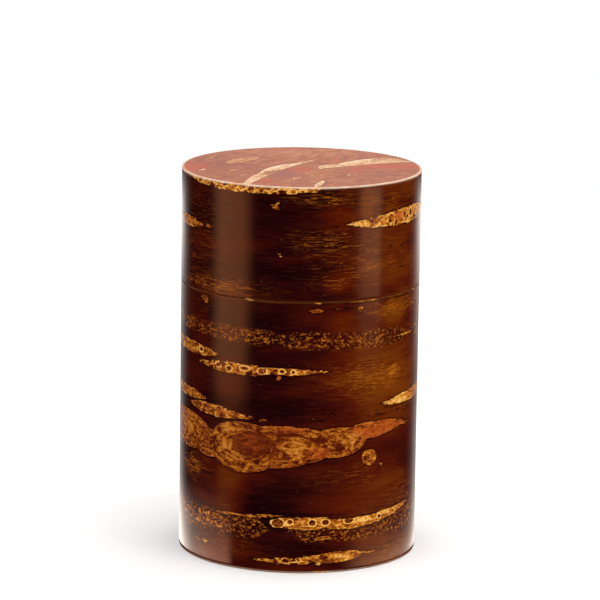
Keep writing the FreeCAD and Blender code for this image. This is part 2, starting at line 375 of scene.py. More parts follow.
def revolved(name, profile, closed=False):
    """A solid of revolution as a piece; a profile point at radius 0 becomes one pole."""
    points, rings, faces = [], [], []
    for r, z in profile:
        count = 1 if r == 0 else columns
        rings.append(range(len(points), len(points) + count))
        for k in range(count):
            turn = math.pi / 2 + 2 * math.pi * k / columns
            points.append((r * math.cos(turn) * MM, r * math.sin(turn) * MM, z * MM))
    pairs = list(zip(rings, rings[1:]))
    if closed:
        pairs.append((rings[-1], rings[0]))
    for lower, upper in pairs:
        for k in range(columns):
            steps = (lower, k), (lower, k + 1), (upper, k + 1), (upper, k)
            corners = [ring[step % len(ring)] for ring, step in steps]
            faces.append(list(dict.fromkeys(corners)))
    piece = new_object(name, points, faces)
    shape = bmesh.new()
    shape.from_mesh(piece.data)
    bmesh.ops.recalc_face_normals(shape, faces=shape.faces)
    shape.to_mesh(piece.data)
    shape.free()
    piece.data.shade_smooth()
    return piece


def places(piece):
    """The piece's points in mm, as one array of x, y and z each."""
    flat = np.empty(len(piece.data.vertices) * 3, np.float32)
    piece.data.vertices.foreach_get("co", flat)
    return flat.reshape(-1, 3).T.astype(float) / MM


def give(piece, **fields):
    """Store each field on the piece's points as an attribute of that name."""
    for name, values in fields.items():
        layer = piece.data.attributes.new(name, "FLOAT", "POINT")
        layer.data.foreach_set("value", np.ascontiguousarray(values, dtype=np.float32))


def relieve(piece, outside, depth):
    """Raise the lenticels a hair and make the rubbed surface very slightly uneven."""
    swell_size, swell_height = 11, 0.035
    cork_height, full_depth = 0.03, 0.8
    x, y, z = places(piece)
    r = np.hypot(x, y)
    skin = r > outside - 0.01
    swell = np.array([noise.noise(Vector(p) / swell_size) for p in zip(x, y, z)])
    lift = swell_height * swell + cork_height * np.clip(depth / full_depth, 0, 1)
    grown = np.where(skin, (r + lift) / np.maximum(r, 1), 1)
    moved = np.stack([x * grown, y * grown, z], axis=1) * MM
    piece.data.vertices.foreach_set("co", moved.astype(np.float32).ravel())
    piece.data.update()


def wall_angle(x, y):
    return np.degrees(np.arctan2(x, -y))


def extent(node):
    """The outer radius of a CAD node and the heights of its two ends, in mm."""
    low_corner, high_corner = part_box(node)
    return high_corner.x / MM, low_corner.z / MM, high_corner.z / MM


def rim_cut_and_highlight(r, z, outside, end):
    """1 on a disc's rounded edge at the height end, falling to 0 just past it: where the rim gets its
    pale cut colour and its painted highlight.
    """
    return np.clip(1.6 - np.hypot(outside - r, end - z) / 0.45, 0, 1)


def bark_wrap(node, sanded, turn=0, drop=0):
    """Bark round a tube: the CAD node's size, with the outer edge at one end ('low' or 'high') sanded.
    Its figure is the wall's, taken from turn degrees further round and drop lower down."""
    outside, low, high = extent(node)
    inside = outside - bark_thickness[node]
    bottom, top = [(outside, low)], [(outside, high)]
    if sanded == "low":
        bottom = arc((outside - soft_edge, low + soft_edge), soft_edge, -90, 0)
    else:
        top = arc((outside - soft_edge, high - soft_edge), soft_edge, 0, 90)
    profile = [(inside, low)] + bottom[:-1] + line(bottom[-1], top[0], grid) + top + [(inside, high)]
    piece = revolved(node + "_skin", profile, closed=True)
    x, y, z = places(piece)
    figure = wall_figure(wall_angle(x, y) + turn, z - drop)
    end = low if sanded == "low" else high
    cut = 0.4 * np.clip(1.2 - np.abs(z - end) / soft_edge, 0, 1)
    give(piece, cut_edge=cut, **figure)
    relieve(piece, outside, figure["lenticel"])
    return piece


def end_disc(node, face):
    """The bark disc on the lid's top or the underside; face is +1 where it looks up, else -1."""
    outside, low, high = extent(node)
    outer, inner = (high, low) if face > 0 else (low, high)
    rim = arc((outside - edge_round, outer - face * edge_round), edge_round, face * 90, 0, 6)
    profile = [(0, outer)] + line((grid, outer), rim[0], grid) + rim + [(outside, inner), (0, inner)]
    piece = revolved(node + "_skin", profile)
    x, y, z = places(piece)
    r = np.hypot(x, y)
    side = wall_figure(wall_angle(x, y), z)
    flat = top_figure(x, y) if face > 0 else top_figure(y, x)
    on_side = np.clip((r - outside + 0.5) / 0.3, 0, 1)
    figure = {name: side[name] * on_side + flat[name] * (1 - on_side) for name in side}
    # how pale the rim is painted: the cut bark's colour with a painted highlight on the top, and painted
    # light from the floor on the underside
    cut_and_highlight_strength = 0.8 if face > 0 else 0.4
    give(piece, cut_edge=cut_and_highlight_strength * rim_cut_and_highlight(r, z, outside, outer), **figure)
    return piece


def facing(node, peg):
    """The bark on top of the inner lid, bored for the peg, with its upper edge rounded."""
    outside, low, high = extent(node)
    hole = extent(peg)[0]
    rim = arc((outside - edge_round, high - edge_round), edge_round, 0, 90, 6)
    profile = [(hole, low), (outside, low)] + rim + line(rim[-1], (hole, high), grid)[1:] + [(hole, high)]
    piece = revolved(node + "_skin", profile, closed=True)
    x, y, z = places(piece)
    # the pale rim: the cut bark's colour with a painted highlight, as on the lid's top
    cut = 0.5 * rim_cut_and_highlight(np.hypot(x, y), z, outside, high)
    give(piece, cut_edge=cut, **top_figure(-x * 1.12, y * 1.12))
    return piece


# ---- Materials ----
class Graph:
    """The nodes of a material, or of the world, as expressions: an argument is a number, a colour or
    another node's output."""

    def __init__(self, name, kind=bpy.data.materials):
        self.owner = kind.new(name)
        self.owner.use_nodes = True
        self.tree = self.owner.node_tree
        self.tree.nodes.clear()

    def feed(self, socket, value):
        if isinstance(value, bpy.types.NodeSocket):
            self.tree.links.new(value, socket)
        else:
            if socket.type == "RGBA" and len(value) == 3:
                value = (*value, 1)
            socket.default_value = value

    def node(self, kind, inputs=None, **settings):
        made = self.tree.nodes.new(kind)
        for key, value in settings.items():
            setattr(made, key, value)
        for key, value in (inputs or {}).items():
            self.feed(made.inputs[key], value)
        return made

    def math(self, operation, *values):
        return self.node("ShaderNodeMath", dict(enumerate(values)), operation=operation).outputs[0]

    def add(self, a, b):
        return self.math("ADD", a, b)

    def sub(self, a, b):
        return self.math("SUBTRACT", a, b)

    def mul(self, a, b):
        return self.math("MULTIPLY", a, b)

    def total(self, first, *others):
        for other in others:
            first = self.add(first, other)
        return first

    def most(self, a, b):
        return self.math("MAXIMUM", a, b)

    def swing(self, value, size):
        """A noise's swing about its middle, times size."""
        return self.mul(self.sub(value, 0.5), size)

    def zigzag(self, value):
        """0.5 where value is a whole number, falling to 0 halfway to the next."""
        return self.math("ABSOLUTE", self.sub(self.math("FRACT", value), 0.5))

    def rise(self, value, low, high):
        """0 below low and 1 above high, smoothly between; falls instead when low is above high."""
        falls = low > high
        inputs = {"Value": value, "From Min": min(low, high), "From Max": max(low, high)}
        inputs.update({"To Min": 1.0, "To Max": 0.0} if falls else {})
        return self.node("ShaderNodeMapRange", inputs, interpolation_type="SMOOTHSTEP").outputs[0]

    def band(self, value, middle, half):
        """1 where value is at middle, falling smoothly to 0 at half away from it."""
        return self.rise(self.math("ABSOLUTE", self.sub(value, middle)), half, 0.0)

    def mix(self, factor, a, b):
        made = self.node("ShaderNodeMix", data_type="RGBA", clamp_factor=True)
        for socket, value in zip((made.inputs[0], made.inputs[6], made.inputs[7]), (factor, a, b)):
            self.feed(socket, value)
        return made.outputs[2]

    def ramp(self, factor, *stops):
        made = self.node("ShaderNodeValToRGB", {"Fac": factor})
        elements = made.color_ramp.elements
        while len(elements) < len(stops):
            elements.new(0.5)
        for element, (position, colour) in zip(elements, stops):
            element.position = position
            element.color = (*colour, 1)
        return made.outputs[0]

    def field(self, name):
        return self.node("ShaderNodeAttribute", attribute_name=name).outputs["Fac"]

    def place(self):
        """Object coordinates in mm, as x, y and z."""
        where = self.node("ShaderNodeTexCoord").outputs["Object"]
        scaled = self.node("ShaderNodeVectorMath", {0: where, 3: 1 / MM}, operation="SCALE").outputs[0]
        return self.node("ShaderNodeSeparateXYZ", {0: scaled}).outputs

    def around(self, x, y, length=radius):
        """How far round from the front, as an arc; length is that of one radian."""
        return self.mul(self.math("ARCTAN2", x, self.mul(y, -1.0)), length)

    def vector(self, x, y, z):
        return self.node("ShaderNodeCombineXYZ", {0: x, 1: y, 2: z}).outputs[0]

    def stretch(self, along, across, wide, tall, shift=0.0):
        """A vector for a texture whose grains are wide by tall, in mm."""
        return self.vector(self.mul(along, 1 / wide), self.mul(across, 1 / tall), shift)

    def noise(self, vector, detail=3.0, rough=0.55, distortion=0.0):
        inputs = {"Vector": vector, "Scale": 1.0, "Detail": detail, "Roughness": rough}
        inputs["Distortion"] = distortion
        return self.node("ShaderNodeTexNoise", inputs).outputs["Fac"]

    def voronoi(self, vector, feature="F1"):
        return self.node("ShaderNodeTexVoronoi", {"Vector": vector, "Scale": 1.0}, feature=feature)

    def chances(self, voronoi):
        """Three numbers from 0 to 1 that differ from cell to cell."""
        return self.node("ShaderNodeSeparateColor", {0: voronoi.outputs["Color"]}).outputs

    def emit(self, colour, strength):
        """A glow that reflections show but that lights nothing by itself."""
        light = self.node("ShaderNodeEmission", {"Color": colour, "Strength": strength})
        self.node("ShaderNodeOutputMaterial", {"Surface": light.outputs[0]})
        self.owner.cycles.emission_sampling = "NONE"
        return self.owner

    def finish(self, colour, roughness, bump=None, bump_depth=0.02, **sockets):
        """The principled shader; bump is a height from 0 to 1, bump_depth its size in mm."""
        shader = self.node("ShaderNodeBsdfPrincipled", {"Base Color": colour, "Roughness": roughness})
        for name, value in sockets.items():
            self.feed(shader.inputs[name.replace("_", " ")], value)
        if bump is not None:
            inputs = {"Height": bump, "Distance": bump_depth * MM, "Strength": 1.0}
            self.feed(shader.inputs["Normal"], self.node("ShaderNodeBump", inputs).outputs[0])
        self.node("ShaderNodeOutputMaterial", {"Surface": shader.outputs[0]})
        return self.owner


# ---- Colours of the bark, as linear light ----
LACQUER = (1.0, 0.50, 0.33)    # the bark's own amber wax warms what the polish mirrors
PITCH = (0.01, 0.0007, 0.0013)
RUST = (0.46, 0.075, 0.008)
EYE = (0.13, 0.014, 0.003)
# GROUND is the plain bark and CORK the lenticels, each from dark to light.
WALL_GROUND = ((0.022, 0.0012, 0.0018), (0.08, 0.0058, 0.001), (0.17, 0.035, 0.0013))
WALL_CORK = (
    (0.034, 0.003, 0.0012), (0.11, 0.014, 0.002), (0.235, 0.052, 0.004),
    (0.45, 0.125, 0.006), (0.69, 0.27, 0.024), (0.93, 0.52, 0.125),
)
BURL = (
    (0.036, 0.003, 0.0012), (0.095, 0.01, 0.0015), (0.165, 0.026, 0.0025),
    (0.275, 0.052, 0.002), (0.42, 0.108, 0.004), (0.62, 0.24, 0.026),
)
TOP_GROUND = ((0.16, 0.034, 0.017), (0.285, 0.08, 0.035), (0.42, 0.17, 0.078))
TOP_RED = (0.4, 0.036, 0.015)
TOP_PURPLE = (0.19, 0.032, 0.058)
# the discs' rims: the cut bark's tan, and at the pale end near white, which is a painted highlight
RIM_CUT_AND_HIGHLIGHT = ((0.78, 0.42, 0.22), (1.0, 0.86, 0.7))
TOP_CORK = (
    (0.2, 0.048, 0.015), (0.28, 0.085, 0.026), (0.36, 0.135, 0.04),
    (0.48, 0.24, 0.09), (0.66, 0.43, 0.22), (0.88, 0.7, 0.48),
)


class Grain:
    """What the parts of a bark material share: its fibres, and coordinates along and across the
    lenticels, in mm, both straight and bent by two noises."""

    def __init__(self, g, along, across):
        self.g, self.along, self.across = g, along, across
        self.fibre = g.noise(self.straight(9.0, 0.22), 4.0, 0.6)
        self.drift = g.noise(self.straight(5.0, 1.8, 9.0), 3.0, 0.55)
        self.ragged = g.noise(self.straight(3.2, 0.50, 17.0), 4.0, 0.65)
        self.bent_along = g.add(along, g.swing(self.drift, 3.0))
        self.bent_across = g.add(across, g.swing(self.ragged, 1.0))

    def straight(self, *grain):
        return self.g.stretch(self.along, self.across, *grain)

    def level(self, *grain):
        return self.g.stretch(self.along, self.bent_across, *grain)

    def bent(self, *grain):
        return self.g.stretch(self.bent_along, self.bent_across, *grain)


def plain_bark(g, grain, ground):
    """The walls' plain bark: dark, with horizontal fibres, warmer where it glows."""
    cloud = g.noise(grain.straight(26.0, 7.0, 4.0), 3.0, 0.5)
    glow = g.field("glow")
    dark, middle, light = ground
    fibres = g.swing(grain.fibre, g.add(g.mul(glow, 0.5), 0.45))
    tone = g.total(g.mul(glow, 0.62), g.swing(cloud, 0.9), fibres, 0.08)
    return g.ramp(tone, (0.0, PITCH), (0.12, dark), (0.45, middle), (0.85, light))


def worn_bark(g, grain, ground):
    """The plain bark of the lid's top, shaved thin: a fine red and tan mottle."""
    broad = g.noise(grain.straight(5.5, 3.0, 101.0), 3.0, 0.6)
    fine = g.noise(grain.straight(1.5, 0.7, 107.0), 3.0, 0.6)
    tone = g.total(g.swing(broad, 1.9), g.swing(fine, 1.3), 0.40, g.mul(g.field("amber"), 0.26))
    dark, middle, light = ground
    plain = g.ramp(tone, (0.1, dark), (0.45, middle), (0.85, light))
    reds = g.noise(grain.straight(4.0, 2.4, 113.0), 4.0, 0.65)
    red = g.rise(g.add(g.field("glow"), g.swing(reds, 2.6)), 0.20, 0.85)
    plain = g.mix(g.mul(red, 0.8), plain, TOP_RED)
    purple = g.rise(g.add(g.field("eye"), g.swing(reds, -2.2)), 0.25, 0.8)
    return g.mix(g.mul(purple, 0.6), plain, TOP_PURPLE)


def streaked(g, grain, plain, amber, pale, speckled):
    """The plain bark with hairlines and dashes, most where it is amber, and scattered flecks."""
    hair = g.noise(grain.level(7.0, 0.22, 31.0), 2.0, 0.5)
    streaks = g.rise(g.add(hair, g.mul(amber, 0.05)), 0.56, 0.68)
    streaks = g.mul(streaks, g.add(g.mul(amber, 0.75), 0.03))
    dash = g.noise(grain.level(3.0, 0.36, 47.0), 2.0, 0.5)
    cluster = g.rise(g.add(grain.drift, g.mul(amber, 0.14)), 0.44, 0.60)
    dashes = g.mul(g.rise(g.add(dash, g.mul(amber, 0.03)), 0.59, 0.70), cluster)
    dashes = g.mul(dashes, g.add(g.mul(amber, 0.95), 0.03))
    plain = g.mix(g.most(streaks, dashes), plain, pale)
    fleck = g.voronoi(grain.bent(1.5, 1.1, 3.0))
    speck = g.mul(g.rise(fleck.outputs["Distance"], 0.15, 0.07), g.rise(g.chances(fleck)[0], 0.88, 0.92))
    return g.mix(g.mul(speck, speckled), plain, pale)


def pitted(g, grain, plain, cork_colours):
    """The plain bark with its pitted bands, and their pits: small golden grains, some run together."""
    band = g.rise(g.add(g.field("pitted"), g.swing(grain.drift, 2.4)), -0.5, 0.6)
    dot = g.voronoi(grain.bent(1.05, 0.95, 7.0))
    tone, kept = g.chances(dot)[:2]
    dots = g.mul(g.rise(dot.outputs["Distance"], 0.56, 0.26), g.rise(kept, 0.15, 0.40))
    worm = g.noise(grain.bent(1.0, 0.7, 23.0), 2.0, 0.5)
    pits = g.mul(band, g.most(dots, g.rise(worm, 0.53, 0.64)))
    bed = g.mix(g.mul(band, 0.5), plain, PITCH)
    return g.mix(pits, bed, g.mix(tone, cork_colours[1], cork_colours[3])), pits


def burl_figure(g, grain, curl):
    """The burl's curly tone, with growth lines round each lobe, pale veins and dark creases."""
    knot = g.noise(grain.straight(2.0, 1.6, 89.0), 2.0, 0.5, 1.6)
    vein = g.band(knot, 0.5, 0.03)
    growth = g.total(g.mul(g.field("growth"), 0.70), g.swing(curl, 1.9), g.swing(grain.drift, 1.6))
    year = g.zigzag(growth)
    lines = g.sub(g.mul(g.rise(year, 0.36, 0.49), 0.32), g.mul(g.rise(year, 0.14, 0.01), 0.36))
    contour = g.zigzag(g.mul(curl, 11.0))
    crease = g.rise(g.add(g.field("crease"), g.swing(grain.drift, 0.8)), 0.55, 0.0)
    tone = g.add(g.swing(curl, 2.0), g.add(lines, g.mul(vein, 0.14)))
    tone = g.add(tone, g.mul(g.sub(contour, 0.25), 0.75))
    return g.sub(tone, g.mul(crease, 0.22))


def bark(g, along, across, ground, cork_colours, cut_and_highlight_colours, worn=False):
    """Polished cherry bark, as colour, roughness and relief; worn is for the lid's top."""
    grain = Grain(g, along, across)
    if worn:
        plain = worn_bark(g, grain, ground)
        plain = streaked(g, grain, plain, 0.0, cork_colours[3], 0.12)
    else:
        plain = plain_bark(g, grain, ground)
        plain = streaked(g, grain, plain, g.field("amber"), cork_colours[3], 0.4)
    plain, pits = pitted(g, grain, plain, cork_colours)

    # lenticels: corky gold; its tone runs from dark cells to pale walls
    burl = g.field("burl")
    calm = 0.7 if worn else g.sub(1.0, g.mul(burl, 0.65))
    rough_edge = g.add(g.swing(grain.ragged, 1.9), g.swing(grain.drift, 1.3))
    depth = g.add(g.field("lenticel"), g.mul(rough_edge, calm))
    inside = g.rise(depth, -0.05, 0.15)
    blotch = g.noise(grain.bent(3.6, 1.5, 13.0), 3.0, 0.6)
    mottle = g.noise(grain.bent(1.1, 0.55, 19.0), 4.0, 0.6)
    tone = g.add(g.mul(g.add(g.swing(blotch, 1.5), g.swing(mottle, 1.4)), calm), 0.46)

    shape = grain.bent(2.5, 2.0, 5.0)
    wall_away = g.voronoi(shape, "DISTANCE_TO_EDGE").outputs["Distance"]
    cells = g.field("cells")
    core = g.mul(g.rise(wall_away, 0.10, 0.26), g.rise(g.chances(g.voronoi(shape))[0], 0.2, 0.5))
    cell_walls = g.rise(wall_away, 0.15, 0.03)
    tone = g.add(tone, g.mul(cells, g.sub(g.mul(cell_walls, 0.32), g.mul(core, 0.34))))

    # burl: a curly figure, darker on the whole, with dark red eyes
    curl = g.noise(grain.straight(3.8, 2.2, 83.0), 4.0, 0.58, 1.6)
    tone = g.add(tone, g.mul(burl, g.add(burl_figure(g, grain, curl), 0.03)))
    eye = g.rise(g.add(g.field("eye"), g.swing(curl, 1.6)), 0.35, 0.70)
    tone = g.add(g.sub(tone, g.mul(eye, 0.34)), g.mul(g.field("cream"), 0.42))

    # the large ring cells, and a paler line just inside the outline
    ring = g.add(g.field("ring"), g.swing(mottle, 0.5))
    tone = g.sub(tone, g.mul(g.rise(ring, 0.16, 0.40), 0.28))
    tone = g.total(tone, g.mul(g.band(ring, 0.04, 0.28), 0.57), g.mul(g.band(depth, 0.20, 0.22), 0.12))
    cork = g.ramp(tone, *zip((0.06, 0.26, 0.43, 0.58, 0.75, 0.95), cork_colours))
    cork = g.mix(burl, cork, g.ramp(tone, *zip((0.08, 0.26, 0.42, 0.58, 0.76, 1.0), BURL)))
    cork = g.mix(g.mul(eye, 0.42), cork, EYE)
    rust = g.mul(g.field("rust"), g.rise(blotch, 0.36, 0.56))
    cork = g.mix(g.mul(rust, 0.75), cork, RUST)

    outline = g.mul(g.band(depth, -0.22, 0.42), 0.38 if worn else 0.75)
    skin = g.mix(inside, g.mix(outline, plain, PITCH), cork)
    # the cut edge: on the walls the bark's own cut colour; on the discs' rims its pale colours are also a
    # painted highlight
    cut_and_highlight_tone = g.rise(g.noise(grain.straight(6.0, 0.3, 61.0)), 0.3, 0.7)
    skin = g.mix(g.field("cut_edge"), skin, g.mix(cut_and_highlight_tone, *cut_and_highlight_colours))

    satin = g.add(g.mul(grain.fibre, 0.08), g.mul(inside, 0.03))
    roughness = g.add(satin, g.add(g.mul(pits, 0.03), 0.12))
    if not worn:
        roughness = g.add(roughness, g.mul(g.field("cut_edge"), 0.6))
    netted = g.mul(g.mul(cell_walls, g.mul(inside, cells)), 0.3)
    corky = g.mul(g.mul(mottle, inside), 0.4)
    return skin, roughness, g.total(g.mul(grain.fibre, 0.16), corky, netted, g.mul(pits, 0.15))


def wall_bark():
    g = Graph("polished_bark_wall")
    x, y, z = g.place()
    around = g.around(x, y)
    skin, roughness, relief = bark(g, around, z, WALL_GROUND, WALL_CORK, WALL_CORK[2:4])
    # the lap joint at the back, where the two ends of the bark meet
    wander = g.swing(g.noise(g.stretch(around, z, 900.0, 9.0, 71.0)), 0.5)
    to_joint = g.sub(girth / 2, g.math("ABSOLUTE", around))
    joint = g.band(g.add(to_joint, wander), 0.15, 0.3)
    skin = g.mix(g.mul(joint, 0.85), skin, PITCH)
    relief = g.sub(relief, g.mul(joint, 0.6))
    return g.finish(skin, roughness, relief, 0.035, IOR=1.5, Specular_Tint=LACQUER)


def disc_bark():
    g = Graph("polished_bark_disc")
    x, y, z = g.place()
    lean = math.radians(56)
    along = g.add(g.mul(x, math.cos(lean)), g.mul(y, math.sin(lean)))
    across = g.sub(g.mul(y, math.cos(lean)), g.mul(x, math.sin(lean)))
    skin, roughness, relief = bark(g, along, across, TOP_GROUND, TOP_CORK, RIM_CUT_AND_HIGHLIGHT, worn=True)
    return g.finish(skin, roughness, relief, 0.03, IOR=1.5)


def rim_bark():
    """Bark seen on the round edge of a disc, drawn with the wall's own coordinates."""
    g = Graph("polished_bark_rim")
    x, y, z = g.place()
    around = g.around(x, y)
    skin, roughness, relief = bark(g, around, z, WALL_GROUND, WALL_CORK, RIM_CUT_AND_HIGHLIGHT)
    return g.finish(skin, roughness, relief, 0.02, IOR=1.5)


def lining_bark(name, dark, light, mark):
    """Unpolished or waxed bark: even fibres with short paler marks, round a wall or across a disc."""
    g = Graph(name)
    x, y, z = g.place()
    around = g.around(x, y)
    flat_along = g.add(x, g.mul(y, 0.4))
    normal = g.node("ShaderNodeNewGeometry").outputs["Normal"]
    upright = g.node("ShaderNodeSeparateXYZ", {0: normal}).outputs[2]
    flat = g.rise(g.math("ABSOLUTE", upright), 0.5, 0.9)

    def grain(wide, tall, shift):
        on_wall = g.noise(g.stretch(around, z, wide, tall, shift), 4.0, 0.6)
        on_disc = g.noise(g.stretch(flat_along, y, wide, tall, shift), 4.0, 0.6)
        return g.add(g.mul(on_wall, g.sub(1.0, flat)), g.mul(on_disc, flat))

    fibre = grain(6.0, 0.35, 0.0)
    cloud = g.noise(g.stretch(around, z, 30.0, 9.0, 5.0), 2.0)
    colour = g.mix(g.rise(g.add(g.mul(fibre, 0.75), g.mul(cloud, 0.25)), 0.35, 0.65), dark, light)
    marks = g.rise(grain(5.0, 0.9, 33.0), 0.58, 0.66)
    colour = g.mix(g.mul(marks, 0.8), colour, mark)
    relief = g.add(fibre, g.mul(marks, 0.6))
    return g.finish(colour, g.add(g.mul(fibre, 0.2), 0.36), relief, 0.04)


def wound_veneer():
    """Layers of thin veneer: rings where the wall is cut, straight grain on its faces."""
    ply_thickness = 0.35
    g = Graph("wound_veneer")
    x, y, z = g.place()
    r = g.node("ShaderNodeVectorMath", {0: g.vector(x, y, 0.0)}, operation="LENGTH").outputs["Value"]
    ply = g.zigzag(g.mul(r, 1 / ply_thickness))
    around = g.around(x, y)
    grain = g.noise(g.stretch(around, z, 0.5, 18.0), 4.0, 0.6)
    end = g.noise(g.stretch(around, r, 0.35, 0.12, 5.0), 3.0, 0.6)
    colour = g.mix(g.add(g.mul(grain, 0.6), g.mul(end, 0.4)), (0.44, 0.17, 0.065), (0.72, 0.36, 0.16))
    colour = g.mix(g.rise(ply, 0.14, 0.04), colour, (0.16, 0.075, 0.032))
    return g.finish(colour, 0.6, g.add(g.mul(grain, 0.5), ply), 0.05)


def board_wood():
    g = Graph("board_wood")
    x, y, z = g.place()
    wave = g.noise(g.stretch(x, y, 40.0, 9.0, 2.0), 2.0)
    year = g.math("FRACT", g.add(g.mul(y, 0.33), g.mul(wave, 2.6)))
    grain = g.noise(g.stretch(x, g.add(y, z), 9.0, 0.3), 4.0, 0.6)
    colour = g.mix(g.rise(year, 0.2, 0.95), (0.56, 0.37, 0.20), (0.40, 0.23, 0.11))
    colour = g.mix(g.mul(grain, 0.5), colour, (0.30, 0.16, 0.07))
    return g.finish(colour, 0.55, grain, 0.05)


def stacked_bark():
    """The knob: thin sheets of bark pressed together and turned, so their edges show as contour lines."""
    sheet_thickness = 0.5
    g = Graph("stacked_bark")
    x, y, z = g.place()
    wave = g.noise(g.vector(g.mul(x, 0.22), g.mul(y, 0.16), g.mul(z, 0.12)))
    level = g.add(z, g.add(g.mul(wave, 4.0), g.mul(x, 0.10)))
    sheet = g.math("FRACT", g.mul(level, 1 / sheet_thickness))
    which = g.noise(g.vector(0.0, 0.0, g.mul(level, 1.7)), 2.0)
    colour = g.mix(g.rise(which, 0.36, 0.64), (0.070, 0.012, 0.003), (0.190, 0.048, 0.008))
    colour = g.mix(g.mul(g.rise(sheet, 0.26, 0.06), 0.8), colour, WALL_CORK[3])
    return g.finish(colour, 0.18, sheet, 0.02, IOR=1.5, Specular_Tint=LACQUER)


def assign(obj, material):
    obj.data.materials.clear()
    obj.data.materials.append(material)


# ---- Bark skins ----
wall_material = wall_bark()
disc_material = disc_bark()
rim_material = rim_bark()


def rounded_edge(piece, material):
    """Give the material to the faces on a disc's round edge."""
    piece.data.materials.append(material)
    for polygon in piece.data.polygons:
        centre = polygon.center
        polygon.material_index = int(math.hypot(centre.x, centre.y) / MM > radius - edge_round * 0.6)


for node, make, how, material, body, slot in (
    ("body_outer_bark", bark_wrap, ("high",), wall_material, "body", "polished_bark"),
    ("lid_outer_bark", bark_wrap, ("low",), wall_material, "lid", "polished_bark"),
    ("sleeve_outer_bark", bark_wrap, ("high", 95, 14), wall_material, "body", "collar_bark"),
    ("lid_top_bark_disc", end_disc, (1,), disc_material, "lid", "polished_bark"),
    ("bottom_bark_disc", end_disc, (-1,), disc_material, "body", "polished_bark"),
    ("inner_lid_top_bark", facing, ("knob_peg",), disc_material, "inner_lid", "polished_bark"),
):
    piece = make(node, *how)
    assign(piece, material)
    if make is end_disc:
        rounded_edge(piece, rim_material)
    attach(piece, body)
    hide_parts(node)

# ---- Everything inside, on the CAD's own shapes ----
veneer = wound_veneer()
board = board_wood()
lining = lining_bark("bark_lining", (0.10, 0.027, 0.011), (0.25, 0.082, 0.032), (0.42, 0.19, 0.075))
waxed = lining_bark("collar_bark", (0.05, 0.010, 0.004), (0.16, 0.040, 0.012), (0.36, 0.13, 0.03))
INSIDE = {
    veneer: ("body_core_tube", "sleeve_core_tube", "lid_core_tube", "inner_lid_plug_ring"),
    board: ("bottom_board", "lid_top_board", "inner_lid_board", "knob_peg"),
    lining: (
        "body_inner_bark", "floor_bark_disc", "sleeve_inner_bark", "lid_inner_bark",
        "lid_ceiling_bark_disc", "inner_lid_under_bark", "inner_lid_plug_bark",
    ),
    waxed: ("inner_lid_edge_bark",),
    stacked_bark(): ("knob",),
}
for material, nodes in INSIDE.items():
    for node in nodes:
        assign(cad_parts[node], material)


# ---- Studio ----
# in metres
floor_solid, floor_end = 0.35, 0.75    # distances from the axis between which the floor fades away
floor_corners = 48
side_high = 0.5                        # height of the side cards
card_lift = 0.0005                     # height of the cards that lie round the foot


def sheet(name, corners, material):
    """A flat staged card or floor, from its corners in metres."""
    made = new_object(name, corners, [tuple(range(len(corners)))])
    made.data.materials.append(material)
    return made


def shining(name, ends, colour, strength, soft=None, lift=None):
    """A card's glow. It fades in over the soft degrees at each of its ends, and upwards over the lift,
    (from, to) in millimetres above the floor."""
    g = Graph(name)
    x, y, z = g.place()
    if soft:
        turn = g.around(x, y, 180 / math.pi)
        at_left = g.rise(turn, ends[0], ends[0] + soft[0])
        at_right = g.rise(turn, ends[1], ends[1] - soft[1])
        strength = g.mul(g.mul(at_left, at_right), strength)
    if lift:
        strength = g.mul(g.rise(z, *lift), strength)
    return g.emit(colour, strength)


def only_mirrored(card):
    """The card is seen in reflections and nowhere else."""
    card.visible_camera = card.visible_diffuse = card.visible_shadow = card.visible_transmission = False


def compass(angle, distance, z):
    """A point of the studio, in metres: angle from the front, as round the wall."""
    turn = math.radians(angle)
    return (distance * math.sin(turn), -distance * math.cos(turn), z)


def card(name, ends, near, far, low, high, *glow):
    """A card round the caddy between two angles: standing where near and far are the same, else lying."""
    left, right = ends
    steps = max(2, round((right - left) / 6))
    turns = [left + (right - left) * k / steps for k in range(steps + 1)]
    inner = [compass(a, near, low) for a in turns]
    outer = [compass(a, far, high) for a in reversed(turns)]
    only_mirrored(sheet(name, inner + outer, shining(name, ends, *glow)))


g = Graph("floor")
x, y, z = g.place()
from_axis = g.math("SQRT", g.add(g.mul(x, x), g.mul(y, y)))
floor_fade = g.rise(from_axis, floor_end / MM, floor_solid / MM)
floor_material = g.finish((0.95, 0.95, 0.95), 0.9, Specular_IOR_Level=0.0, Alpha=floor_fade)
floor_rim = [compass(360 * k / floor_corners, floor_end, 0) for k in range(floor_corners)]
floor = sheet("floor", floor_rim, floor_material)
floor.visible_glossy = False

# The polish mirrors nothing but the cards, these first: a warm one on either side.
amber_glow, yellow_glow = (1.0, 0.66, 0.36), (1.0, 0.95, 0.64)
card("card_left", (-92, -40), 0.26, 0.26, 0, side_high, amber_glow, 2.05, (18, 16), (-8, 26))
card("card_right", (48, 82), 0.34, 0.34, 0, side_high, yellow_glow, 1.65, (14, 7), (-6, 34))


def fade(value, *stops):
    """A curve through (value, height) stops."""
    at, heights = zip(*stops)
    return np.interp(value, at, heights)


